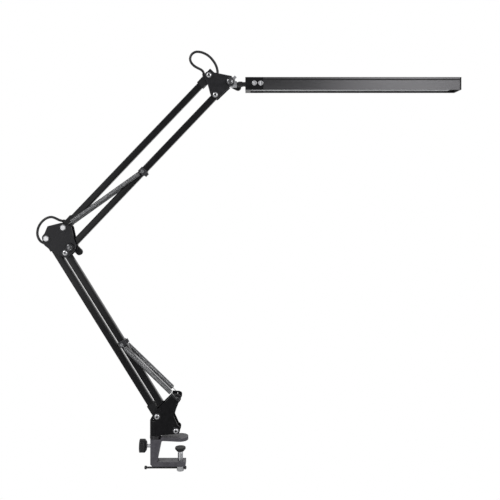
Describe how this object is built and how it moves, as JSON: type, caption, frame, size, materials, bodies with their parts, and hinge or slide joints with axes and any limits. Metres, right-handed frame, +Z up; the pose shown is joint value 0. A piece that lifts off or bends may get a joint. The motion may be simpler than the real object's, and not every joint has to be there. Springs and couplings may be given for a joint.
{
  "type": "desk lamp",
  "caption": "Black swing-arm desk lamp with a bar-shaped LED head, two parallelogram arms with steel springs and a screw clamp for a table edge.",
  "frame": {"origin": "the underside of the clamp's upper jaw, where the axis of the clamp screw meets it", "axes": "Z up; X along the arms' plane toward the lamp head; Y across the arms, away from the side that shows the domed bolt heads"},
  "size_m": [0.6374, 0.0378, 0.6346],
  "materials": {
    "paint": "satin black paint",
    "clamp_paint": "grey-black paint with soft highlights",
    "black_plastic": "matt black",
    "dark_steel": "glossy black",
    "nickel": "bright nickel plate",
    "spring_steel": "drawn wire",
    "cable_black": "smooth black jacket",
    "head_aluminium": "anodised dark grey, satin",
    "head_cover": "satin black",
    "board": "white solder mask",
    "chips": "pale yellow phosphor",
    "diffuser_white": "milky white"
  },
  "bodies": {
    "clamp": {"clamp_frame": "clamp_paint", "clamp_collar": "dark_steel"},
    "pad": {"pressure_pad": "black_plastic"},
    "screw": {"clamp_screw": "nickel"},
    "tommy": {"tommy_bar": "dark_steel"},
    "lock": {"lock_knob": "black_plastic", "lock_screw": "nickel"},
    "base": {"base_bracket": "paint", "swivel_post": "nickel", "base_bolts": "nickel", "base_nuts": "nickel", "base_spacers": "dark_steel", "base_spring_anchors": "dark_steel"},
    "lower_arm": {"lower_main_tube": "paint", "lower_sleeves": "black_plastic", "lower_cable_gland": "black_plastic"},
    "lower_follower": {"lower_follower_tube": "paint", "lower_spring_clip": "dark_steel"},
    "lower_springs": {"lower_spring_front": "spring_steel", "lower_spring_rear": "spring_steel", "lower_spring_eyes": "spring_steel"},
    "lower_links": {"lower_spring_links": "spring_steel"},
    "elbow": {"elbow_plate_front": "paint", "elbow_plate_rear": "paint", "elbow_bolts": "nickel", "elbow_nuts": "nickel", "elbow_spacers": "dark_steel", "elbow_clamp_bolt": "dark_steel", "elbow_cable_loop": "cable_black"},
    "elbow_knob": {"elbow_wing_knob": "black_plastic"},
    "upper_arm": {"upper_main_tube": "paint", "upper_sleeves": "black_plastic", "upper_cable_glands": "black_plastic"},
    "upper_follower": {"upper_follower_tube": "paint", "upper_spring_clip": "dark_steel"},
    "upper_springs": {"upper_spring_front": "spring_steel", "upper_spring_rear": "spring_steel", "upper_spring_eyes": "spring_steel"},
    "upper_links": {"upper_spring_links": "spring_steel"},
    "top": {"top_plate_front": "paint", "top_plate_rear": "paint", "top_bolts": "nickel", "top_nuts": "nickel", "top_spacers": "dark_steel", "tilt_bolt": "dark_steel", "top_cable_saddle": "black_plastic", "top_cable_loop": "cable_black"},
    "tilt_knob": {"tilt_wing_knob": "black_plastic"},
    "knuckle": {"head_knuckle": "nickel", "head_stem": "dark_steel", "stem_collar": "dark_steel"},
    "head": {"head_joint_block": "head_aluminium", "head_housing": "head_aluminium", "head_end_cover": "head_cover", "head_end_cap": "head_cover", "head_end_screws": "nickel", "led_board": "board", "led_chips": "chips", "diffuser": "diffuser_white"}
  },
  "joints": [
    {"name": "pad_travel", "type": "slide", "parent": "clamp", "child": "pad", "axis": [0, 0, -1], "range_m": [0, 0.0135]},
    {"name": "screw_turn", "type": "hinge", "parent": "pad", "child": "screw", "pos_m": [0, 0, -0.03], "axis": [0, 0, 1], "range_deg": [0, 3888]},
    {"name": "tommy_slide", "type": "slide", "parent": "screw", "child": "tommy", "axis": [1, 0, 0], "range_m": [0, 0.045]},
    {"name": "lock_turn", "type": "hinge", "parent": "clamp", "child": "lock", "pos_m": [-0.05, 0, -0.01], "axis": [1, 0, 0], "continuous": true},
    {"name": "base_swivel", "type": "hinge", "parent": "clamp", "child": "base", "pos_m": [-0.0374, 0, 0.007], "axis": [0, 0, 1], "range_deg": [-170, 170]},
    {"name": "lower_arm_fold", "type": "hinge", "parent": "base", "child": "lower_arm", "pos_m": [-0.034, 0, 0.037], "axis": [0, 1, 0], "range_deg": [-1.5, 55]},
    {"name": "lower_follower_turn", "type": "hinge", "parent": "base", "child": "lower_follower", "pos_m": [-0.0058, 0, 0.0156], "axis": [0, 1, 0], "range_deg": [-1.6, 55.1]},
    {"name": "elbow_level", "type": "hinge", "parent": "lower_arm", "child": "elbow", "pos_m": [-0.19993, 0, 0.30358], "axis": [0, 1, 0], "range_deg": [-55.1, 1.6]},
    {"name": "lower_spring_turn", "type": "hinge", "parent": "base", "child": "lower_springs", "pos_m": [-0.0026, 0, 0.0642], "axis": [0, 1, 0], "range_deg": [-2.32, 77.92]},
    {"name": "lower_spring_stretch", "type": "slide", "parent": "lower_springs", "child": "lower_links", "axis": [-0.7195, 0, 0.6945], "range_m": [-0.00878, 0.00026], "deforming": ["lower_spring_front", "lower_spring_rear"]},
    {"name": "upper_arm_fold", "type": "hinge", "parent": "elbow", "child": "upper_arm", "pos_m": [-0.17463, 0, 0.31988], "axis": [0, 1, 0], "range_deg": [-39, 55], "deforming": ["elbow_cable_loop"]},
    {"name": "upper_follower_turn", "type": "hinge", "parent": "elbow", "child": "upper_follower", "pos_m": [-0.16503, 0, 0.29048], "axis": [0, 1, 0], "range_deg": [-39.1, 55.1]},
    {"name": "top_level", "type": "hinge", "parent": "upper_arm", "child": "top", "pos_m": [0.04369, 0, 0.54834], "axis": [0, 1, 0], "range_deg": [-55.1, 39.1], "deforming": ["top_cable_loop"]},
    {"name": "upper_spring_turn", "type": "hinge", "parent": "elbow", "child": "upper_springs", "pos_m": [-0.17463, 0, 0.31988], "axis": [0, 1, 0], "range_deg": [-38.03, 53.55]},
    {"name": "upper_spring_stretch", "type": "slide", "parent": "upper_springs", "child": "upper_links", "axis": [0.8141, 0, 0.5807], "range_m": [-0.02019, 0.02847], "deforming": ["upper_spring_front", "upper_spring_rear"]},
    {"name": "elbow_knob_turn", "type": "hinge", "parent": "elbow", "child": "elbow_knob", "pos_m": [-0.16503, 0, 0.29048], "axis": [0, 1, 0], "continuous": true},
    {"name": "tilt_knob_turn", "type": "hinge", "parent": "top", "child": "tilt_knob", "pos_m": [0.07529, 0, 0.53894], "axis": [0, 1, 0], "continuous": true},
    {"name": "head_tilt", "type": "hinge", "parent": "top", "child": "knuckle", "pos_m": [0.07529, 0, 0.53894], "axis": [0, 1, 0], "range_deg": [-60, 75]},
    {"name": "head_roll", "type": "hinge", "parent": "knuckle", "child": "head", "pos_m": [0.10029, 0, 0.53594], "axis": [1, 0, 0], "range_deg": [-90, 90]}
  ],
  "couplings": [
    {"joint": "pad_travel", "follows": "screw_turn", "m_per_rad": 0.00019894},
    {"joint": "lower_follower_turn", "follows": "lower_arm_fold", "ratio": 1},
    {"joint": "elbow_level", "follows": "lower_arm_fold", "ratio": -1},
    {"joint": "lower_spring_turn", "follows": "lower_arm_fold", "ratio": 1.4131},
    {"joint": "lower_spring_stretch", "follows": "lower_arm_fold", "m_per_rad": -0.0090554},
    {"joint": "upper_follower_turn", "follows": "upper_arm_fold", "ratio": 1},
    {"joint": "top_level", "follows": "upper_arm_fold", "ratio": -1},
    {"joint": "upper_spring_turn", "follows": "upper_arm_fold", "ratio": 0.97},
    {"joint": "upper_spring_stretch", "follows": "upper_arm_fold", "m_per_rad": 0.029369}
  ]
}
